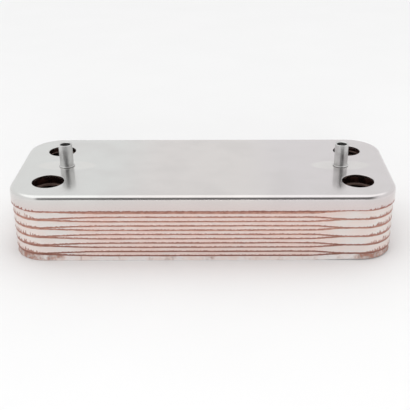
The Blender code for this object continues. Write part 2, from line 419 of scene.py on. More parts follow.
class Finish(NodeBench):
    """A material in the making, with the patterns that several finishes share."""

    def __init__(self, name: str) -> None:
        """Starts a material with a Principled shader.

        Args:
            name: The material's name.
        """
        self.material = bpy.data.materials.new(name)
        self.material.use_nodes = True
        super().__init__(self.material.node_tree)
        self.shader = self.tree.nodes["Principled BSDF"]
        self.place = self.add("TexCoord", {}).outputs["Object"]

    def above(self) -> bpy.types.NodeSocket:
        """How many millimetres a point of a plate lies above the plate's rim."""
        return self.add("Attribute", {}, attribute_name=ABOVE_RIM).outputs["Fac"]

    def from_middle(self) -> bpy.types.Node:
        """How far a point lies from the middle, along X and along Y."""
        folded = self.add("VectorMath", {0: self.place}, operation="ABSOLUTE")
        return self.add("SeparateXYZ", {0: folded})

    def corners(self) -> bpy.types.Node:
        """Where the four upright corners are.

        Returns:
            A node that gives 1 at the middle of a corner and 0 along the straight sides.
        """
        axes = self.from_middle()
        along = self.add("MapRange", {0: axes.outputs["X"], 1: 78 * MM, 2: 86 * MM}, **SMOOTH)
        across = self.add("MapRange", {0: axes.outputs["Y"], 1: 21 * MM, 2: 28 * MM}, **SMOOTH)
        return self.add("Math", {0: along, 1: across}, operation="MULTIPLY")

    def creep(self, straight_mm: float, corner_mm: float) -> bpy.types.Node:
        """Copper that crept up from a rim in a frayed edge, further at the corners.

        Args:
            straight_mm: How far it crept at most along the straight sides.
            corner_mm: How much further it crept at the corners.

        Returns:
            A node that gives how much copper there is.
        """
        wavy = {"Vector": self.place, "Scale": per(1.1), "Detail": 4.0, "Roughness": 0.7}
        fray = self.add("TexNoise", wavy)
        reach = self.add("MapRange", {0: fray, 1: 0.3, 2: 0.75, 4: straight_mm})

        # Teeth about a millimetre wide and four or five times as tall
        narrow = self.add("Mapping", {"Vector": self.place, "Scale": (1, 1, 0.22)})
        pointed = {"Vector": narrow, "Scale": per(1.0), "Detail": 3.0, "Roughness": 0.7}
        spikes = self.add("TexNoise", pointed)
        teeth = self.add("MapRange", {0: spikes, 1: 0.42, 2: 0.68, 3: 0.15, 4: corner_mm}, **SMOOTH)
        tall = self.add("Math", {0: teeth, 1: self.corners(), 2: reach}, operation="MULTIPLY_ADD")
        left = self.add("Math", {0: tall, 1: self.above()}, operation="SUBTRACT")
        return self.add("MapRange", {0: left, 1: -0.05, 2: 0.15}, **SMOOTH)


@dataclass(frozen=True)
class CoverSteel:
    """Stainless sheet, cold-rolled, bright-annealed and deep-drawn.

    The eye sees a soft mirror. Reflections are crisp near their object and fade away from it, a faint
    streak follows the rolling direction, and copper has frayed along the rim. A pale oval is left round
    each stud, where the weld's heat took the sheen off, and the tint drifts from cool to warm along the
    length.
    """

    cool: str = "D9DAD8"
    warm: str = "DBD7D5"
    violet: str = "D7D3D4"
    oval: str = "E1E0DD"
    cloudy: str = "CBC7C6"
    vapour: str = "D9C9C5"
    copper: str = "A4756B"
    creep_mm: tuple[float, float] = (0.7, 1.6)  # how far copper crept up, and how much more at the corners
    streak_mm: float = 0.4  # the real rolling lines are finer, and are drawn this coarse to show
    oval_mm: tuple[float, float] = (15.7, 6.4)  # half the oval's length and half its width
    stud_mm: float = 71.4  # from the middle of the length to a stud

    def material(self) -> bpy.types.Material:
        """Makes the material.

        Returns:
            The material.
        """
        finish = Finish("stainless_sheet_bright_annealed")
        add, place = finish.add, finish.place

        # The tint turns from cool at the left to warm in the middle and violet at the right
        along = add("SeparateXYZ", {0: place}).outputs["X"]
        to_warm = add("MapRange", {0: along, 1: -50 * MM, 2: -20 * MM}, **SMOOTH)
        to_violet = add("MapRange", {0: along, 1: 15 * MM, 2: 45 * MM}, **SMOOTH)
        steel = add("Mix", {0: to_warm, 6: self.cool, 7: self.warm}, **COLOUR)
        steel = add("Mix", {0: to_violet, 6: steel, 7: self.violet}, **COLOUR)

        # Both ovals at once: the length is folded in half, and the oval is stretched to a circle of radius 1
        folded = add("VectorMath", {0: place}, operation="ABSOLUTE")
        stretch = (per(self.oval_mm[0]), per(self.oval_mm[1]), 0)
        to_stud = (-self.stud_mm / self.oval_mm[0], 0, 0)
        centred = add("VectorMath", {0: folded, 1: stretch, 2: to_stud}, operation="MULTIPLY_ADD")
        from_stud = add("VectorMath", {0: centred}, operation="LENGTH").outputs["Value"]
        oval = add("MapRange", {0: from_stud, 1: 0.85, 2: 1.05, 3: 0.6, 4: 0.0}, **SMOOTH)
        steel = add("Mix", {0: oval, 6: steel, 7: self.oval}, **COLOUR)

        # Broad clouds over the face, and a blush of copper vapour low on the side
        cloud = add("TexNoise", {"Vector": place, "Scale": per(22), "Detail": 3.0})
        shade = add("MapRange", {0: cloud, 1: 0.35, 2: 0.7, 3: 0.0, 4: 0.35}, **SMOOTH)
        steel = add("Mix", {0: shade, 6: steel, 7: self.cloudy}, **COLOUR)
        blush = add("MapRange", {0: finish.above(), 1: 0.5, 2: 8.0, 3: 0.7, 4: 0.0})
        steel = add("Mix", {0: blush, 6: steel, 7: self.vapour}, **COLOUR)

        rolled = add("Mapping", {"Vector": place, "Scale": (0.015, 1, 1)})
        streaks = add("TexNoise", {"Vector": rolled, "Scale": per(self.streak_mm), "Detail": 2.0})
        gloss = add("MapRange", {0: streaks, 1: 0.3, 2: 0.7, 3: 0.14, 4: 0.2})
        copper = finish.creep(*self.creep_mm)
        finish.feed(
            finish.shader,
            {
                "Base Color": add("Mix", {0: copper, 6: steel, 7: self.copper}, **COLOUR),
                "Metallic": 1.0,
                "Roughness": add("Math", {0: copper, 1: 0.3, 2: gloss}, operation="MULTIPLY_ADD"),
                "Normal": add("Bump", {"Height": streaks, "Distance": 0.0012 * MM}),
            },
        )
        return finish.material


@dataclass(frozen=True)
class PlateSteel:
    """Thin stainless sheet after vacuum brazing.

    The eye sees skirts etched to a pale satin with a pink cast of copper vapour, frayed copper above each
    rim with teeth in the drawn corners, and deep inside a brown wash where braze wetted the metal. The film
    left by the furnace dulls the metal, so it is only partly metallic.
    """

    pale: str = "DDD7D3"
    pink: str = "E2CAC2"
    wet: str = "BC8B78"
    copper: str = "A67C70"
    wash: str = "927A72"
    creep_mm: tuple[float, float] = (0.6, 1.9)  # how far copper crept up, and how much more at the corners
    wash_from_mm: float = 5.2  # height above the rim from which a surface lies inside the stack
    wash_fade_mm: float = 0.6  # over how much more height the wash sets in

    def material(self) -> bpy.types.Material:
        """Makes the material.

        Returns:
            The material.
        """
        finish = Finish("stainless_sheet_vacuum_brazed")
        add, place = finish.add, finish.place

        # The pink cast lies in streaks along the skirts, and is strongest in the middle of the length
        long = add("Mapping", {"Vector": place, "Scale": (0.3, 0.3, 1)})
        cloud = add("TexNoise", {"Vector": long, "Scale": per(3.5), "Detail": 4.0, "Roughness": 0.6})
        share = add("MapRange", {0: cloud, 1: 0.3, 2: 0.7}, **SMOOTH)
        along = finish.from_middle().outputs["X"]
        vapour = add("MapRange", {0: along, 1: 55 * MM, 2: 70 * MM, 3: 0.5, 4: -0.1}, **SMOOTH)
        share = add("Math", {0: share, 1: 0.6, 2: vapour}, operation="MULTIPLY_ADD", use_clamp=True)
        steel = add("Mix", {0: share, 6: self.pale, 7: self.pink}, **COLOUR)

        # Where two rims draw together, braze has soaked up to the rim above
        wetting = add("Attribute", {}, attribute_name=WETTING).outputs["Fac"]
        wetted = add("Math", {0: wetting, 1: 0.6, 2: share}, operation="MULTIPLY_ADD")
        low_down = add("MapRange", {0: finish.above(), 1: 1.5, 2: 2.1, 3: 1.0, 4: 0.0})
        soaked = add("MapRange", {0: wetted, 1: 0.3, 2: 0.9, 4: low_down}, **SMOOTH)
        soaked = add("Math", {0: soaked, 1: wetting}, operation="MULTIPLY")
        steel = add("Mix", {0: soaked, 6: steel, 7: self.wet}, **COLOUR)

        copper = finish.creep(*self.creep_mm)
        outside = add("Mix", {0: copper, 6: steel, 7: self.copper}, **COLOUR)
        washed_mm = self.wash_from_mm + self.wash_fade_mm
        inside = add("MapRange", {0: finish.above(), 1: self.wash_from_mm, 2: washed_mm}, **SMOOTH)
        satin = add("TexNoise", {"Vector": place, "Scale": per(0.6), "Detail": 3.0})
        finish.feed(
            finish.shader,
            {
                "Base Color": add("Mix", {0: inside, 6: outside, 7: self.wash}, **COLOUR),
                "Metallic": add("MapRange", {0: inside, 3: 0.6, 4: 0.35}),
                "Roughness": add("MapRange", {0: satin, 1: 0.3, 2: 0.7, 3: 0.34, 4: 0.46}),
                "Normal": add("Bump", {"Height": satin, "Distance": 0.006 * MM}),
            },
        )
        return finish.material


@dataclass(frozen=True)
class EndSteel:
    """Thicker stainless sheet, satin after vacuum brazing, on which the surplus braze ran down.

    The eye sees a greyer band than the skirts above, with upright smudges, and blotches of brown and grey
    at the corners where braze pooled.
    """

    grey: str = "DDD8D6"
    pink: str = "DCCDC7"
    smudge: str = "B9A7A1"
    pool: str = "A67A6C"
    ash: str = "B0A09A"

    def material(self) -> bpy.types.Material:
        """Makes the material.

        Returns:
            The material.
        """
        finish = Finish("stainless_sheet_stained_with_braze")
        add, place = finish.add, finish.place
        cloud = add("TexNoise", {"Vector": place, "Scale": per(7), "Detail": 4.0, "Roughness": 0.6})
        share = add("MapRange", {0: cloud, 1: 0.35, 2: 0.65}, **SMOOTH)
        steel = add("Mix", {0: share, 6: self.grey, 7: self.pink}, **COLOUR)
        upright = add("Mapping", {"Vector": place, "Scale": (1, 1, 0.25)})
        runs = add("TexNoise", {"Vector": upright, "Scale": per(2.2), "Detail": 3.0})
        smudges = add("MapRange", {0: runs, 1: 0.58, 2: 0.75, 4: 0.8}, **SMOOTH)
        steel = add("Mix", {0: smudges, 6: steel, 7: self.smudge}, **COLOUR)

        along = finish.from_middle().outputs["X"]

        # Braze pooled near the ends, on the outside far more than on the flat floor above it
        outside = add("MapRange", {0: finish.above(), 1: 3.5, 2: 5.0, 3: 0.3, 4: 0.02})
        near = add("MapRange", {0: along, 1: 62 * MM, 2: 86 * MM, 4: outside}, **SMOOTH)
        blots = add("TexNoise", {"Vector": place, "Scale": per(5), "Detail": 3.0, "Roughness": 0.6})
        wet = add("Math", {0: blots, 1: near}, operation="ADD")
        pool = add("MapRange", {0: wet, 1: 0.52, 2: 0.84}, **SMOOTH)
        mottle = add("TexNoise", {"Vector": place, "Scale": per(1.6), "Detail": 3.0})
        ash = add("MapRange", {0: mottle, 1: 0.45, 2: 0.6}, **SMOOTH)
        stain = add("Mix", {0: ash, 6: self.pool, 7: self.ash}, **COLOUR)
        finish.feed(
            finish.shader,
            {
                "Base Color": add("Mix", {0: pool, 6: steel, 7: stain}, **COLOUR),
                "Metallic": 0.45,
                "Roughness": add("MapRange", {0: pool, 3: 0.38, 4: 0.55}),
                "Normal": add("Bump", {"Height": mottle, "Distance": 0.04 * MM}),
            },
        )
        return finish.material


@dataclass(frozen=True)
class BrazeCopper:
    """Copper that melted in the joint and froze there.

    The eye sees a dull pinkish brown, lumpy and patchy, darker and browner towards the bottom of the stack.
    """

    fresh: str = "C49585"
    brown: str = "A97A6B"
    lower_brown: str = "7C5248"

    def material(self) -> bpy.types.Material:
        """Makes the material.

        Returns:
            The material.
        """
        finish = Finish("copper_frozen_braze")
        add, place = finish.add, finish.place
        patch = add("TexNoise", {"Vector": place, "Scale": per(3.0), "Detail": 5.0, "Roughness": 0.65})
        share = add("MapRange", {0: patch, 1: 0.35, 2: 0.65}, **SMOOTH)
        copper = add("Mix", {0: share, 6: self.fresh, 7: self.brown}, **COLOUR)
        # The copper is drawn darker and browner towards the bottom of the stack
        height = add("SeparateXYZ", {0: place}).outputs["Z"]
        low = add("MapRange", {0: height, 1: 4 * MM, 2: 16 * MM, 3: 0.7, 4: 0.0})
        grain = add("TexNoise", {"Vector": place, "Scale": per(0.4), "Detail": 3.0})
        finish.feed(
            finish.shader,
            {
                "Base Color": add("Mix", {0: low, 6: copper, 7: self.lower_brown}, **COLOUR),
                "Metallic": 0.6,
                "Roughness": add("MapRange", {0: patch, 1: 0.3, 2: 0.7, 3: 0.42, 4: 0.6}),
                "Normal": add("Bump", {"Height": grain, "Distance": 0.03 * MM}),
            },
        )
        return finish.material


@dataclass(frozen=True)
class TemperedRing:
    """Steel ring wetted by braze and tempered brown-black.

    The eye sees a dark glossy wall with a few small soft highlights and a reddish edge.
    """

    dark: str = "2A1D1B"
    brown: str = "5A3B34"

    def material(self) -> bpy.types.Material:
        """Makes the material.

        Returns:
            The material.
        """
        finish = Finish("steel_ring_tempered_brown")
        add, place = finish.add, finish.place
        patch = add("TexNoise", {"Vector": place, "Scale": per(4.0), "Detail": 4.0})
        share = add("MapRange", {0: patch, 1: 0.4, 2: 0.7}, **SMOOTH)
        waves = add("TexNoise", {"Vector": place, "Scale": per(3.0), "Detail": 2.0})
        finish.feed(
            finish.shader,
            {
                "Base Color": add("Mix", {0: share, 6: self.dark, 7: self.brown}, **COLOUR),
                "Metallic": 0.8,
                "Roughness": add("MapRange", {0: patch, 1: 0.3, 2: 0.7, 3: 0.22, 4: 0.36}),
                "Normal": add("Bump", {"Height": waves, "Distance": 0.15 * MM}),
            },
        )
        return finish.material


@dataclass(frozen=True)
class TurnedSteel:
    """Free-cutting steel turned on a lathe.

    The eye sees clean bright metal whose fine tool rings smear reflections up and down.
    """

    bright: str = "D6D6D5"
    dull: str = "BDBCBB"
    feed_mm: float = 0.25  # the real feed is finer, and is drawn this coarse to show

    def material(self) -> bpy.types.Material:
        """Makes the material.

        Returns:
            The material.
        """
        finish = Finish("steel_turned_bright")
        add, place = finish.add, finish.place
        cloud = add("TexNoise", {"Vector": place, "Scale": per(5.0), "Detail": 3.0})
        share = add("MapRange", {0: cloud, 1: 0.35, 2: 0.7}, **SMOOTH)
        round_it = add("Mapping", {"Vector": place, "Scale": (0.03, 0.03, 1)})
        rings = add("TexNoise", {"Vector": round_it, "Scale": per(self.feed_mm), "Detail": 1.0})
        finish.feed(
            finish.shader,
            {
                "Base Color": add("Mix", {0: share, 6: self.bright, 7: self.dull}, **COLOUR),
                "Metallic": 1.0,
                "Roughness": add("MapRange", {0: rings, 1: 0.3, 2: 0.7, 3: 0.28, 4: 0.36}),
                "Normal": add("Bump", {"Height": rings, "Distance": 0.002 * MM}),
            },
        )
        return finish.material


@dataclass(frozen=True)
class FloorPaper:
    """Matt white studio paper: pale and plain, with hardly any grain to the eye."""

    white: str = "EFEFEF"
    shade: str = "ECECEC"

    def material(self) -> bpy.types.Material:
        """Makes the material.

        Returns:
            The material.
        """
        finish = Finish("studio_paper")
        cloud = finish.add("TexNoise", {"Vector": finish.place, "Scale": per(60), "Detail": 2.0})
        paper = finish.add("Mix", {0: cloud, 6: self.white, 7: self.shade}, **COLOUR)
        finish.feed(finish.shader, {"Base Color": paper, "Roughness": 0.85})
        return finish.material


# ---------------------------------------------------------------- the plate stack


class Side(Enum):
    """An end of the stack, by the sign of X."""

    LEFT = -1
    RIGHT = 1


@dataclass
class Stack:
    """What all plates share: their outline, their pitch and how their rims run."""

    corner_radius: float = 17.2 * MM
    corner_segments: int = 20
    cover_lift: float = 0.9 * MM  # from the foot of the cover's solid to its rim
    cover_rise: float = 0.3 * MM  # how much higher the cover's rim is at the right end
    foot: float = 0.11 * MM  # from the floor to the end plate's outline, which thickening lowers
    base_rise: float = 0.5 * MM  # how far the right end stands off the floor
    rim_inset: float = 0.75 * MM  # from the cover's side to a rim
    sheet: float = 0.34 * MM
    flare: float = 0.15  # how far a skirt leans out for each unit down
    press_depth: float = 1.7 * MM
    plates: int = 10
    # Where rims begin to draw together in pairs and where they have met, from the middle of the length
    merges: dict[Side, tuple[float, float]] = field(
        default_factory=lambda: {Side.LEFT: (48 * MM, 92 * MM), Side.RIGHT: (52 * MM, 72 * MM)}
    )
    merge_steps: int = 8
    swing: float = 0.47  # how far a rim moves at the ends, as a share of the pitch
    wet_at: float = 0.72  # how far two rims have met where braze wetted the plate most
    wet_reach: float = 0.45  # and how far on either side of that it wetted any
    wet_right: float = 0.45  # how much it did so at the right end, as a share of the left

    def __post_init__(self) -> None:
        """Takes the places of the plates from the solids."""
        cover_low, cover_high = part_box("cover_plate")
        first_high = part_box("channel_plate_01")[1]
        last_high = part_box(f"channel_plate_{self.plates:02d}")[1]
        self.length = cover_high[0] - cover_low[0]
        self.width = cover_high[1] - cover_low[1]
        self.top = cover_high[2]
        self.cover_rim = cover_low[2]
        self.pitch = (first_high[2] - last_high[2]) / (self.plates - 1)
        self.first_floor = first_high[2] - self.press_depth / 2 - self.sheet / 2

    def rim_height(self, number: int) -> float:
        """The height of a plate's rim in the middle of the length.

        Args:
            number: The plate, counted down from the cover, which is 0.

        Returns:
            The height.
        """
        if number > self.plates:
            return self.foot
        return self.cover_rim - number * self.pitch + (0 if number else self.cover_lift)

    def drawn_together(self, x: float) -> float:
        """How far neighbouring rims have met: 0 in the middle and 1 at the ends.

        Args:
            x: The place along the length.

        Returns:
            The share.
        """
        start, end = self.merges[Side.LEFT if x < 0 else Side.RIGHT]
        share = min(1.0, max(0.0, (abs(x) - start) / (end - start)))
        return share * share * (3 - 2 * share)

    def rim_shift(self, number: int, x: float) -> float:
        """How far a plate's rim lies above its height in the middle.

        Args:
            number: The plate.
            x: The place along the length.

        Returns:
            The shift, downwards for odd plates.
        """
        if number in (0, self.plates + 1):
            rise = self.base_rise if number else self.cover_rise
            return rise * self.drawn_together(x) if x > 0 else 0.0
        return (-1 if number % 2 else 1) * self.pitch * self.swing * self.drawn_together(x)

    def above_rim(self, number: int) -> Callable[[Vector], float]:
        """Gives a function for how many millimetres a place lies above a plate's rim."""
        return lambda place: (place.z - self.rim_height(number) - self.rim_shift(number, place.x)) / MM

    def wetting(self, number: int) -> Callable[[Vector], float]:
        """Gives a function for how much braze has wetted a place on a plate."""
        return lambda place: self.wetting_at(number, place.x)

    def wetting_at(self, number: int, x: float) -> float:
        """How much braze has wetted a plate where its rim meets the one above.

        Args:
            number: The plate. Only even ones draw near to the rim above.
            x: The place along the length.

        Returns:
            The share, from 0 to 1.
        """
        if number % 2:
            return 0.0
        closing = max(0.0, 1 - abs(self.drawn_together(x) - self.wet_at) / self.wet_reach)
        return closing if x < 0 else self.wet_right * closing

    def stations(self) -> list[float]:
        """Where the outline is cut so that a rim can bend.

        Returns:
            The places along the length.
        """
        found = [0.0]
        for side, (start, end) in self.merges.items():
            for step in range(self.merge_steps + 1):
                found.append(side.value * (start + (end - start) * step / self.merge_steps))
        return sorted(found)

    def outline(self, name: str, inset: float, height: float) -> Workpiece:
        """A flat rounded rectangle, cut across where rims bend.

        Args:
            name: The piece's name.
            inset: How far inside the cover's side it lies.
            height: Its height.

        Returns:
            The piece, in edit mode with all of it selected.
        """
        piece = Workpiece.plane(name, self.length - 2 * inset, self.width - 2 * inset, height)
        piece.round_corners(self.corner_radius - inset, self.corner_segments)
        piece.cut_across(self.stations())
        bpy.ops.mesh.select_all(action="SELECT")
        return piece

    def draw_up(self, name: str, number: int, inset: float, steps: list[tuple[float, float]]) -> Workpiece:
        """Draws a flat blank up into a tray that lies on its rim.

        Args:
            name: The piece's name.
            number: The plate.
            inset: How far its rim lies inside the cover's side.
            steps: How far in and how far up each step of its wall goes.

        Returns:
            The piece, a skin in edit mode with its flat face selected.
        """
        piece = self.outline(name, inset, self.rim_height(number))
        piece.step_in(steps)
        bpy.ops.mesh.dissolve_faces()
        return piece

    def bend_rim(self, piece: Workpiece, number: int, lean: float = 0.0) -> None:
        """Bends the lowest loop of a piece to the plate's own rim.

        Args:
            piece: The piece, in edit mode, with its lowest loop at the rim's height in the middle.
            number: The plate.
            lean: How far out the loop goes for each unit down.
        """
        low = self.rim_height(number)
        mesh = bmesh.from_edit_mesh(piece.object.data)
        spots = sorted({round(vertex.co.x, 7) for vertex in mesh.verts if abs(vertex.co.z - low) < NEAR})
        for x in [x for x in spots if self.rim_shift(number, x)]:
            piece.pick(Pick.VERTEX, lambda place: abs(place.z - low) < NEAR and abs(place.x - x) < NEAR / 10)
            shift = self.rim_shift(number, x)
            bpy.ops.transform.translate(value=(0, 0, shift))
            if lean:
                bpy.ops.transform.shrink_fatten(value=-shift * lean)


@dataclass(frozen=True)
class Port:
    """One of the four ports: the middle of its ring's foot and the radius of its bore."""

    centre: Vector
    radius: float


@dataclass
class CoverPlate:
    """The drawn cover, a shallow pan turned upside down."""

    stack: Stack
    sheet: float = 1.1 * MM
    edge_radius: float = 2.2 * MM
    edge_steps: int = 8
    draft: float = 0.05 * MM
    hole_round: float = 0.22 * MM
    port_sides: int = 64
    spigot_hole: float = 2.5 * MM

    def build(self, ports: list[Port], studs: list[Vector]) -> None:
        """Models the cover and dresses it.

        Args:
            ports: The ports.
            studs: The stud centres.
        """
        stack = self.stack
        wall = stack.top - stack.rim_height(0) - self.edge_radius
        steps = [(self.draft, wall), *quarter_round(self.edge_radius, self.edge_steps)]
        piece = stack.draw_up("cover", 0, 0.0, steps)
        stack.bend_rim(piece, 0)
        piece.thicken(self.sheet)
        for port in ports:
            piece.cut_hole(port.centre, port.radius, self.port_sides)
        for centre in studs:
            piece.cut_hole(centre, self.spigot_hole, self.port_sides // 2)
        piece.to_edit_mode()
        piece.pick(Pick.EDGE, lambda place: any(self.on_edge(place, port) for port in ports))
        bpy.ops.mesh.bevel(offset=self.hole_round, segments=3)
        piece.store(ABOVE_RIM, stack.above_rim(0))
        piece.finish("cover_plate", Slot.SHEET, CoverSteel().material())

    def on_edge(self, place: Vector, port: Port) -> bool:
        """Whether a place lies on a port's edge in the cover's face.

        Args:
            place: The middle of one of the straight pieces that make up edges.
            port: The port.

        Returns:
            Whether it does.
        """
        off_edge = abs((place - port.centre).xy.length - port.radius)
        return off_edge < 5 * NEAR and abs(place.z - self.stack.top) < NEAR


@dataclass
class PortRings:
    """The rings between the cover and the first plate, the dark walls of the O-ring pockets."""

    wall: float = 1.5 * MM
    sides: int = 64
    edge: float = 0.12 * MM
    rows: tuple[str, ...] = ("front", "rear")

    def port(self, node: str) -> Port:
        """Measures one port on its ring's solid.

        Args:
            node: The solid.

        Returns:
            The port.
        """
        low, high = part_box(node)
        centre = Vector(((low[0] + high[0]) / 2, (low[1] + high[1]) / 2, low[2]))
        return Port(centre, (high[0] - low[0]) / 2 - self.wall)

    def ports(self) -> list[Port]:
        """The four ports."""
        return [self.port(f"port_ring_{row}_{end}") for row in self.rows for end in ENDS]

    def build(self) -> None:
        """Models the left ring of each row, copies it to the right and dresses both."""
        material = TemperedRing().material()
        for row in self.rows:
            left, right = (f"port_ring_{row}_{end}" for end in ENDS)
            ring = self.turn(left)
            twin = ring.copy(f"{right}_turned", self.port(right).centre - self.port(left).centre)
            ring.finish(left, Slot.RING, material)
            twin.finish(right, Slot.RING, material)

    def turn(self, node: str) -> Workpiece:
        """Models one ring.

        Args:
            node: The solid that it stands for.

        Returns:
            The piece.
        """
        port = self.port(node)
        low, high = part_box(node)
        height = high[2] - low[2]
        piece = Workpiece.cylinder(f"{node}_turned", port.radius + self.wall, port.centre, height, self.sides)
        piece.pick(Pick.FACE, lambda place: (place - port.centre).xy.length < NEAR)
        bpy.ops.mesh.inset(thickness=self.wall)
        bpy.ops.mesh.bridge_edge_loops()
        piece.pick(Pick.EDGE, lambda place: min(place.z - low[2], high[2] - place.z) < NEAR)
        bpy.ops.mesh.bevel(offset=self.edge, segments=2, affect="EDGES")
        return piece


@dataclass
class ChannelPlates:
    """The ten pressed plates: trays turned upside down, their skirts flared over one another."""

    stack: Stack
    shoulder: float = 1.2 * MM
    shoulder_steps: int = 3
    land_radius: float = 10.4 * MM
    land_slope: float = 1.0 * MM
    land_drop: float = 0.25 * MM  # how much deeper a lowered land is pressed than a raised one is high
    cutter_height: float = 2.0 * MM
    bore: float = 7.0 * MM
    sides: int = 48

    def build(self, ports: list[Port]) -> None:
        """Models two pressings, copies them down the stack and dresses them.

        Args:
            ports: The ports.
        """
        material = PlateSteel().material()
        pressings: dict[int, Workpiece] = {}
        for number in range(1, self.stack.plates + 1):
            kind = number % 2
            name = f"plate_{number:02d}"
            if kind not in pressings:
                piece = self.press(name, number, ports)
                pressings[kind] = piece
            else:
                first = 1 if kind else 2
                piece = pressings[kind].copy(name, Vector((0, 0, (first - number) * self.stack.pitch)))
            piece.finish(f"channel_plate_{number:02d}", Slot.SHEET, material)

    def press(self, name: str, number: int, ports: list[Port]) -> Workpiece:
        """Models one pressing.

        Args:
            name: The piece's name.
            number: Its place in the stack.
            ports: The ports.

        Returns:
            The piece.
        """
        stack = self.stack
        floor = stack.first_floor - (number - 1) * stack.pitch + stack.sheet / 2
        skirt = floor - stack.rim_height(number) - self.shoulder
        bands = (stack.pitch, skirt - stack.pitch)  # the one that shows, and the rest under the plate above
        steps = [(band * stack.flare, band) for band in bands]
        steps += quarter_round(self.shoulder, self.shoulder_steps)
        piece = stack.draw_up(name, number, stack.rim_inset, steps)
        for port in ports:
            raised = (1 if number % 2 else -1) * port.centre.y > 0
            depth = stack.press_depth / 2 if raised else -stack.press_depth / 2 - self.land_drop
            self.press_land(piece, port.centre, floor, depth)
        stack.bend_rim(piece, number, stack.flare)
        piece.thicken(stack.sheet)
        piece.store(ABOVE_RIM, stack.above_rim(number))
        piece.store(WETTING, stack.wetting(number))
        return piece

    def press_land(self, piece: Workpiece, centre: Vector, floor: float, depth: float) -> None:
        """Presses a round land with a hole into the flat floor.

        Args:
            piece: The plate, in edit mode.
            centre: The port centre.
            floor: The floor's height.
            depth: How far up the land goes, or down if negative.
        """
        place = Vector((centre.x, centre.y, floor))
        bpy.ops.mesh.select_all(action="DESELECT")
        bpy.ops.mesh.primitive_cylinder_add(
            vertices=self.sides,
            radius=self.land_radius,
            depth=self.cutter_height,
            end_fill_type="NOTHING",
            location=place,
        )
        bpy.ops.mesh.intersect(mode="SELECT_UNSELECT", separate_mode="NONE", solver="EXACT")

        def on_cutter(spot: Vector) -> bool:
            """Whether a vertex is at either end of the cutter."""
            at_end = abs(abs(spot.z - floor) - self.cutter_height / 2) < NEAR
            return at_end and (spot - place).xy.length < self.land_radius + NEAR

        piece.pick(Pick.VERTEX, on_cutter)
        bpy.ops.mesh.delete(type="VERT")
        piece.pick(Pick.FACE, lambda spot: (spot - place).length < self.land_slope / 2)
        bpy.ops.mesh.inset(thickness=self.land_slope, depth=depth)
        bpy.ops.mesh.inset(thickness=self.land_radius - self.land_slope - self.bore)
        bpy.ops.mesh.delete(type="FACE")


@dataclass
class EndPlate:
    """The blank plate that closes the stack, open downwards, with its rim on the floor."""

    stack: Stack
    sheet: float = 0.7 * MM
    shoulder: float = 1.4 * MM
    shoulder_steps: int = 4

    def build(self) -> None:
        """Models the plate and dresses it."""
        stack = self.stack
        number = stack.plates + 1
        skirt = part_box("end_plate")[1][2] - stack.rim_height(number) - self.shoulder
        steps = [(skirt * stack.flare, skirt), *quarter_round(self.shoulder, self.shoulder_steps)]
        piece = stack.draw_up("end_plate_blank", number, stack.rim_inset, steps)
        stack.bend_rim(piece, number)
        piece.thicken(self.sheet)
        piece.store(ABOVE_RIM, stack.above_rim(number))
        piece.finish("end_plate", Slot.SHEET, EndSteel().material())


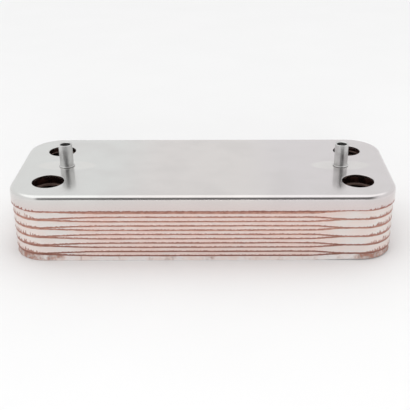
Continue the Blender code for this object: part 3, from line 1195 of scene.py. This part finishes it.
@dataclass
class CopperSeams:
    """The lumpy copper bead under each rim, by far the thickest under the cover."""

    stack: Stack
    radius: float = 0.4 * MM
    drop: float = 0.36 * MM  # from a rim to the middle of its bead
    first_radius: float = 0.88 * MM  # under the cover, in the middle of the length
    first_inset: float = 1.05 * MM  # from the cover's side to the middle of its bead
    inset: float = 0.3 * MM  # from a rim to the middle of its bead
    lump: float = 1.8 * MM
    lump_depth: float = 0.3 * MM
    between: int = 4  # points added between two points of the outline

    def build(self) -> None:
        """Models a bead for each rim and dresses them."""
        material = BrazeCopper().material()
        for number in range(self.stack.plates + 1):
            piece = self.bead(number)
            piece.finish(f"copper_seam_{number + 1:02d}", Slot.COPPER, material, smooth=60.0)

    def bead(self, number: int) -> Workpiece:
        """Models one bead.

        Args:
            number: The plate whose rim it lies under.

        Returns:
            The piece.
        """
        stack = self.stack
        inset = stack.rim_inset + self.inset if number else self.first_inset
        piece = stack.outline(f"bead_{number + 1:02d}", inset, stack.rim_height(number))
        bpy.ops.mesh.dissolve_faces()
        bpy.ops.mesh.delete(type="ONLY_FACE")
        stack.bend_rim(piece, number)
        bpy.ops.mesh.select_all(action="SELECT")
        bpy.ops.transform.translate(value=(0, 0, -self.drop))
        bpy.ops.mesh.subdivide(number_cuts=self.between)
        if number == 0:
            self.sink(piece)
        piece.to_object_mode()
        bpy.ops.object.convert(target="CURVE")
        curve = piece.object.data
        curve.bevel_depth = self.radius
        curve.bevel_resolution = 2
        if number == 0:
            self.swell(piece)
        bpy.ops.object.convert(target="MESH")
        piece.roughen(self.lump, self.lump_depth)
        return piece

    def swollen(self, x: float) -> float:
        """How swollen the first bead is: 1 in the middle of the length and 0 at the ends."""
        return 1 - self.stack.drawn_together(x)

    def zones(self) -> list[tuple[float, float]]:
        """The stretches along X in which the first bead keeps one thickness."""
        cuts = [-math.inf, *self.stack.stations(), math.inf]
        return list(zip(cuts, cuts[1:]))

    @staticmethod
    def middle(zone: tuple[float, float]) -> float:
        """The middle of a stretch, or its finite end."""
        finite = [x for x in zone if math.isfinite(x)]
        return sum(finite) / len(finite)

    def sink(self, piece: Workpiece) -> None:
        """Lowers the first bead's path where the bead is thick, so that it hangs under the cover's rim.

        Args:
            piece: The path, in edit mode.
        """
        for zone in self.zones():
            piece.pick(Pick.VERTEX, lambda place: zone[0] <= place.x < zone[1])
            share = self.swollen(self.middle(zone))
            bpy.ops.transform.translate(value=(0, 0, (self.radius - self.first_radius) * share))

    def swell(self, piece: Workpiece) -> None:
        """Thickens the first bead along the middle of the length.

        Args:
            piece: The path, as a curve.
        """
        piece.to_edit_mode()
        for zone in self.zones():
            bpy.ops.curve.select_all(action="DESELECT")
            for spline in piece.object.data.splines:
                for point in spline.points:
                    point.select = zone[0] <= point.co.x < zone[1]
            share = self.swollen(self.middle(zone))
            bpy.ops.curve.radius_set(radius=1 + (self.first_radius / self.radius - 1) * share)
        piece.to_object_mode()


@dataclass
class LocatingStuds:
    """The two hollow studs on the centre line, each with its welded foot ring."""

    bore: float = 2.6 * MM  # the radius of the bore
    bore_chamfer: float = 0.35 * MM
    tip_chamfer: float = 0.21 * MM
    floor: float = 2.0 * MM  # from the cover's face to the bottom of the bore
    spigot: float = 2.25 * MM  # the radius of the spigot in the cover's hole
    weld: float = 0.34 * MM  # the radius of the foot ring's section
    weld_lift: float = 0.357 * MM  # from the cover's face to the middle of the section
    weld_reach: float = 0.204 * MM  # from the stud's side to the middle of the section
    weld_lump: float = 1.5 * MM
    weld_depth: float = 0.2 * MM
    sides: int = 48
    section_sides: int = 12

    def centres(self) -> list[Vector]:
        """Each stud's axis, at the foot of its spigot."""
        boxes = [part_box(f"locating_stud_{end}") for end in ENDS]
        return [Vector(((low[0] + high[0]) / 2, (low[1] + high[1]) / 2, low[2])) for low, high in boxes]

    def build(self, face: float) -> None:
        """Models a stud, copies it, puts a bead of weld round each foot and dresses them all.

        Args:
            face: The height of the cover's face.
        """
        material = TurnedSteel().material()
        left, right = self.centres()
        studs = [self.turn("stud_left", left, face)]
        welds = [self.weld_foot("foot_ring_left", left, face)]
        studs.append(studs[0].copy("stud_right", right - left))
        welds.append(self.weld_foot("foot_ring_right", right, face))
        for end, stud, weld in zip(ENDS, studs, welds):
            stud.finish(f"locating_stud_{end}", Slot.TURNED, material)
            weld.finish(f"stud_foot_ring_{end}", Slot.TURNED, material, smooth=50.0)

    def radius(self) -> float:
        """The radius of a stud."""
        low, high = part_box("locating_stud_left")
        return (high[0] - low[0]) / 2

    def turn(self, name: str, centre: Vector, face: float) -> Workpiece:
        """Models one stud.

        Args:
            name: The piece's name.
            centre: Its axis, at the foot of its spigot.
            face: The height of the cover's face.

        Returns:
            The piece.
        """
        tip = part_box("locating_stud_left")[1][2]
        radius = self.radius()
        foot = Vector((centre.x, centre.y, face))

        def at_tip(place: Vector) -> bool:
            """Whether a place lies at the tip's height."""
            return place.z > tip - NEAR

        def from_axis(place: Vector) -> float:
            """How far a place lies from the axis."""
            return (place - centre).xy.length

        piece = Workpiece.cylinder(name, radius, foot, tip - face, self.sides)
        piece.pick(Pick.FACE, at_tip)
        bpy.ops.mesh.inset(thickness=radius - self.bore)
        bpy.ops.mesh.extrude_region_move(TRANSFORM_OT_translate={"value": (0, 0, face + self.floor - tip)})
        piece.pick(Pick.FACE, lambda place: place.z < face + NEAR)
        bpy.ops.mesh.inset(thickness=radius - self.spigot)
        bpy.ops.mesh.extrude_region_move(TRANSFORM_OT_translate={"value": (0, 0, centre.z - face)})
        piece.pick(Pick.EDGE, lambda place: at_tip(place) and from_axis(place) > radius - self.tip_chamfer)
        bpy.ops.mesh.bevel(offset=self.tip_chamfer, segments=2)
        piece.pick(Pick.EDGE, lambda place: at_tip(place) and from_axis(place) < self.bore + NEAR)
        bpy.ops.mesh.bevel(offset=self.bore_chamfer, segments=1)
        return piece

    def weld_foot(self, name: str, centre: Vector, face: float) -> Workpiece:
        """Models the bead of weld round a stud's foot.

        Args:
            name: The piece's name.
            centre: The stud's axis.
            face: The height of the cover's face.

        Returns:
            The piece.
        """
        Workpiece.clear_selection()
        bpy.ops.mesh.primitive_torus_add(
            location=(centre.x, centre.y, face + self.weld_lift),
            major_radius=self.radius() + self.weld_reach,
            minor_radius=self.weld,
            major_segments=self.sides,
            minor_segments=self.section_sides,
        )
        piece = Workpiece(name)
        bpy.ops.object.transform_apply()
        piece.roughen(self.weld_lump, self.weld_depth)
        return piece


# ---------------------------------------------------------------- the studio


@dataclass(frozen=True)
class LightTent:
    """A white tent lit from outside: even walls, a brighter roof and a dark opening behind the camera.

    An edge is a place along one axis of a direction of length 1: where it begins and where it is past.
    """

    walls: float = 0.925
    roof: float = 1.35
    opening: float = 0.2
    roof_from: tuple[float, float] = (0.6, 0.8)
    opening_top: tuple[float, float] = (0.8, 0.87)
    opening_left: tuple[float, float] = (-0.42, -0.2)
    opening_right: tuple[float, float] = (0.35, 0.8)
    opening_front: tuple[float, float] = (-0.1, 0.1)

    def build(self) -> None:
        """Sets up the surroundings."""
        world = bpy.data.worlds.new("light_tent")
        world.use_nodes = True
        bench = NodeBench(world.node_tree)
        add = bench.add
        direction = add("SeparateXYZ", {0: add("TexCoord", {}).outputs["Generated"]})
        aside, ahead, upwards = (direction.outputs[letter] for letter in "XYZ")
        roof = {0: upwards, 1: self.roof_from[0], 2: self.roof_from[1], 3: self.walls, 4: self.roof}
        light = add("MapRange", roof, **SMOOTH)
        left, right, top, front = self.opening_left, self.opening_right, self.opening_top, self.opening_front
        falling = {3: 1.0, 4: 0.0}
        sides = [
            add("MapRange", {0: aside, 1: left[0], 2: left[1]}, **SMOOTH),
            add("MapRange", {0: aside, 1: right[0], 2: right[1], **falling}, **SMOOTH),
            add("MapRange", {0: upwards, 1: top[0], 2: top[1], **falling}, **SMOOTH),
            add("MapRange", {0: ahead, 1: front[0], 2: front[1], **falling}),
        ]
        inside: object = 1.0
        for side in sides:
            inside = add("Math", {0: side, 1: inside}, operation="MULTIPLY")
        strength = add("Mix", {0: inside, 2: light, 3: self.opening}, data_type="FLOAT")
        bench.feed(world.node_tree.nodes["Background"], {"Color": "FFFFFF", "Strength": strength})
        bpy.context.scene.world = world


@dataclass(frozen=True)
class FillLight:
    """A soft panel that lights matt surfaces and isn't mirrored in the bright ones."""

    name: str
    place: Vector
    size: float
    watts: float

    def build(self, aim: Vector) -> None:
        """Adds the light.

        Args:
            aim: The point that it faces.
        """
        Workpiece.clear_selection()
        turn = (aim - self.place).to_track_quat("-Z", "Y").to_euler()
        bpy.ops.object.light_add(type="AREA", location=self.place, rotation=turn)
        panel = bpy.context.object
        panel.name = self.name
        panel.data.size = self.size
        panel.data.energy = self.watts
        panel.visible_glossy = False


@dataclass
class Studio:
    """The pale floor, the light tent and the camera."""

    # The camera looks along a line with this pitch and turn, at a point near the middle of the object
    pitch: float = math.radians(25.552)
    turn: float = math.radians(0.261)
    distance: float = 425.5 * MM
    target: Vector = field(default_factory=lambda: Vector((11.03, 0.0, 12.25)) * MM)
    lens_mm: float = 69.81
    shift: float = -0.0488
    floor_size: float = 12.0

    def build(self) -> None:
        """Adds the floor, the light and the camera."""
        self.build_floor()
        LightTent().build()
        FillLight("fill_front", place=Vector((0.05, -0.95, 0.12)), size=0.4, watts=5.0).build(self.target)
        FillLight("fill_top", place=Vector((0, -0.3, 1.6)), size=1.0, watts=1.8).build(self.target)
        self.build_camera()
        bpy.context.scene.view_settings.view_transform = "Standard"

    def build_floor(self) -> None:
        """Adds the floor under the object."""
        Workpiece.clear_selection()
        bpy.ops.mesh.primitive_grid_add(size=self.floor_size, location=(0, 0, cad_box[0][2]))
        floor = bpy.context.object
        floor.name = "studio_floor"
        bpy.ops.object.transform_apply()
        floor.data.materials.append(FloorPaper().material())

    def build_camera(self) -> None:
        """Adds the camera."""
        flat = math.cos(self.pitch)
        forward = Vector((math.sin(self.turn) * flat, math.cos(self.turn) * flat, -math.sin(self.pitch)))
        right = Vector((math.cos(self.turn), -math.sin(self.turn), 0))
        turned = Matrix((right, right.cross(forward), -forward)).transposed().to_4x4()
        Workpiece.clear_selection()
        bpy.ops.object.camera_add()
        camera = bpy.context.object
        camera.name = "studio_camera"
        camera.matrix_world = Matrix.Translation(self.target - forward * self.distance) @ turned
        camera.data.sensor_width = 36.0
        camera.data.lens = self.lens_mm
        camera.data.shift_x = self.shift
        camera.data.clip_start = 0.01
        bpy.context.scene.camera = camera


def main() -> None:
    """Builds every piece in order, then the studio."""
    logging.basicConfig(level=logging.INFO, format="%(message)s")
    stack = Stack()
    rings = PortRings()
    studs = LocatingStuds()
    CoverPlate(stack).build(rings.ports(), studs.centres())
    rings.build()
    ChannelPlates(stack).build(rings.ports())
    EndPlate(stack).build()
    CopperSeams(stack).build()
    studs.build(stack.top)
    Studio().build()


if __name__ == "__main__":
    main()
